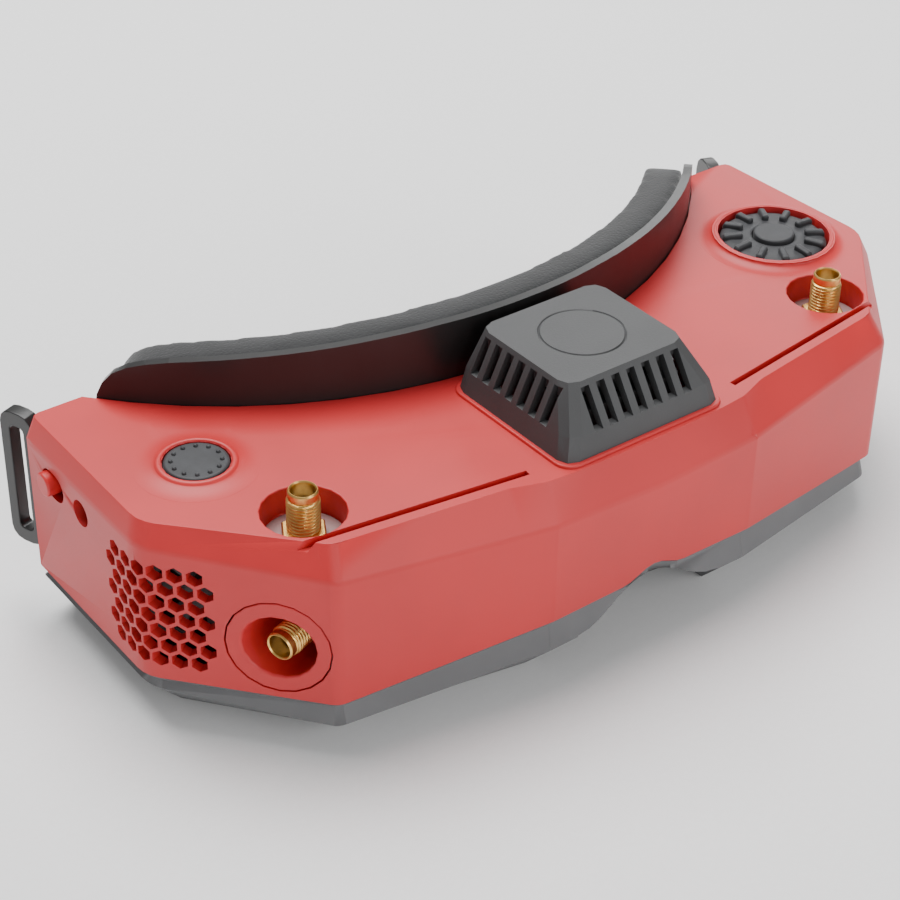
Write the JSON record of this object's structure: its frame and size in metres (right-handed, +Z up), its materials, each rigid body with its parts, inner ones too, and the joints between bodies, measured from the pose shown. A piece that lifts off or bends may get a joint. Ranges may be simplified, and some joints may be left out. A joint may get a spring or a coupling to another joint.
{
  "type": "video goggles",
  "caption": "Head-worn video goggles for flying model aircraft: hard housing, foam face pad, two eyepieces, vent fans, antenna sockets, menu dial and strap loops.",
  "frame": {"origin": "middle of the outline at the underside of the lower cover", "axes": "+Z up, -Y towards the front (away from the face), +X towards the wearer's left, the longest way"},
  "size_m": [0.1874, 0.089, 0.0591],
  "materials": {
    "red_plastic": "satin",
    "slider_red": "gloss",
    "grey_plastic": "satin",
    "black_plastic": "matte",
    "pad_foam": "matte",
    "control_rubber": "matte",
    "gold_plate": "polished",
    "insulator_white": "matte",
    "steel": "satin",
    "aluminium": "satin",
    "board_green": "satin",
    "lens_glass": "polished",
    "screen_black": "gloss"
  },
  "bodies": {
    "housing": {"upper_housing": "red_plastic", "lower_cover": "grey_plastic", "face_frame": "black_plastic", "face_pad": "pad_foam", "fan_cover": "grey_plastic", "top_fan_frame": "black_plastic", "main_board": "board_green", "heat_sink": "aluminium", "dial_encoder": "board_green", "record_switch": "board_green", "slide_switch": "black_plastic", "headphone_jack": "black_plastic", "power_jack": "black_plastic", "video_port": "steel", "card_slot": "steel", "ipd_rail_upper": "steel", "side_fan_left_frame": "black_plastic", "top_antenna_jack_left": "gold_plate", "top_antenna_insulator_left": "insulator_white", "side_antenna_jack_left": "gold_plate", "side_antenna_insulator_left": "insulator_white", "antenna_cup_left": "red_plastic", "ipd_rail_lower_left": "steel", "rail_bracket_left": "black_plastic", "strap_loop_left": "black_plastic", "cover_screw_front_left": "steel", "cover_screw_rear_left": "steel", "side_fan_right_frame": "black_plastic", "top_antenna_jack_right": "gold_plate", "top_antenna_insulator_right": "insulator_white", "side_antenna_jack_right": "gold_plate", "side_antenna_insulator_right": "insulator_white", "antenna_cup_right": "red_plastic", "ipd_rail_lower_right": "steel", "rail_bracket_right": "black_plastic", "strap_loop_right": "black_plastic", "cover_screw_front_right": "steel", "cover_screw_rear_right": "steel"},
    "dial": {"menu_dial": "control_rubber"},
    "dial_push": {"dial_button": "control_rubber"},
    "record_push": {"record_button": "control_rubber"},
    "power_slide": {"power_slider": "slider_red"},
    "top_rotor": {"top_fan_rotor": "grey_plastic"},
    "side_rotor_left": {"side_fan_left_rotor": "grey_plastic"},
    "eye_unit_left": {"optics_carrier_left": "black_plastic", "microdisplay_left": "screen_black", "ipd_slider_left": "control_rubber"},
    "eyepiece_left": {"lens_barrel_left": "black_plastic", "eye_lens_left": "lens_glass"},
    "focus_wheel_left": {"focus_knob_left": "control_rubber"},
    "side_rotor_right": {"side_fan_right_rotor": "grey_plastic"},
    "eye_unit_right": {"optics_carrier_right": "black_plastic", "microdisplay_right": "screen_black", "ipd_slider_right": "control_rubber"},
    "eyepiece_right": {"lens_barrel_right": "black_plastic", "eye_lens_right": "lens_glass"},
    "focus_wheel_right": {"focus_knob_right": "control_rubber"}
  },
  "joints": [
    {"name": "dial_turn", "type": "hinge", "parent": "housing", "child": "dial", "pos_m": [0.0737, 0.00227, 0.046], "axis": [0, 0, 1], "continuous": true},
    {"name": "dial_press", "type": "slide", "parent": "dial", "child": "dial_push", "axis": [0, 0, -1], "range_m": [0, 0.0006], "stiffness_N_per_m": 400, "springref_m": -0.0004},
    {"name": "record_press", "type": "slide", "parent": "housing", "child": "record_push", "axis": [0, 0, -1], "range_m": [0, 0.0006], "stiffness_N_per_m": 400, "springref_m": -0.0004},
    {"name": "power_slide", "type": "slide", "parent": "housing", "child": "power_slide", "axis": [-0.0186, -0.9998, 0], "range_m": [0, 0.0026]},
    {"name": "top_fan_spin", "type": "hinge", "parent": "housing", "child": "top_rotor", "pos_m": [0, -0.02223, 0.0463], "axis": [0, 0, 1], "continuous": true},
    {"name": "side_fan_spin_left", "type": "hinge", "parent": "housing", "child": "side_rotor_left", "pos_m": [0.07762, -0.00705, 0.0268], "axis": [0.766, -0.6428, 0], "continuous": true},
    {"name": "pupil_slide_left", "type": "slide", "parent": "housing", "child": "eye_unit_left", "axis": [1, 0, 0], "range_m": [-0.0035, 0.0035]},
    {"name": "focus_turn_left", "type": "hinge", "parent": "eye_unit_left", "child": "focus_wheel_left", "pos_m": [0.032, -0.01493, 0.004], "axis": [0, 0, 1], "range_deg": [-156, 156]},
    {"name": "focus_travel_left", "type": "slide", "parent": "eye_unit_left", "child": "eyepiece_left", "axis": [0, 1, 0], "range_m": [-0.0025, 0.0025]},
    {"name": "side_fan_spin_right", "type": "hinge", "parent": "housing", "child": "side_rotor_right", "pos_m": [-0.07762, -0.00705, 0.0268], "axis": [-0.766, -0.6428, 0], "continuous": true},
    {"name": "pupil_slide_right", "type": "slide", "parent": "housing", "child": "eye_unit_right", "axis": [1, 0, 0], "range_m": [-0.0035, 0.0035]},
    {"name": "focus_turn_right", "type": "hinge", "parent": "eye_unit_right", "child": "focus_wheel_right", "pos_m": [-0.032, -0.01493, 0.004], "axis": [0, 0, 1], "range_deg": [-156, 156]},
    {"name": "focus_travel_right", "type": "slide", "parent": "eye_unit_right", "child": "eyepiece_right", "axis": [0, 1, 0], "range_m": [-0.0025, 0.0025]}
  ],
  "couplings": [
    {"joint": "focus_turn_left", "follows": "focus_travel_left", "rad_per_m": 1047.2},
    {"joint": "focus_turn_right", "follows": "focus_travel_right", "rad_per_m": 1047.2}
  ]
}
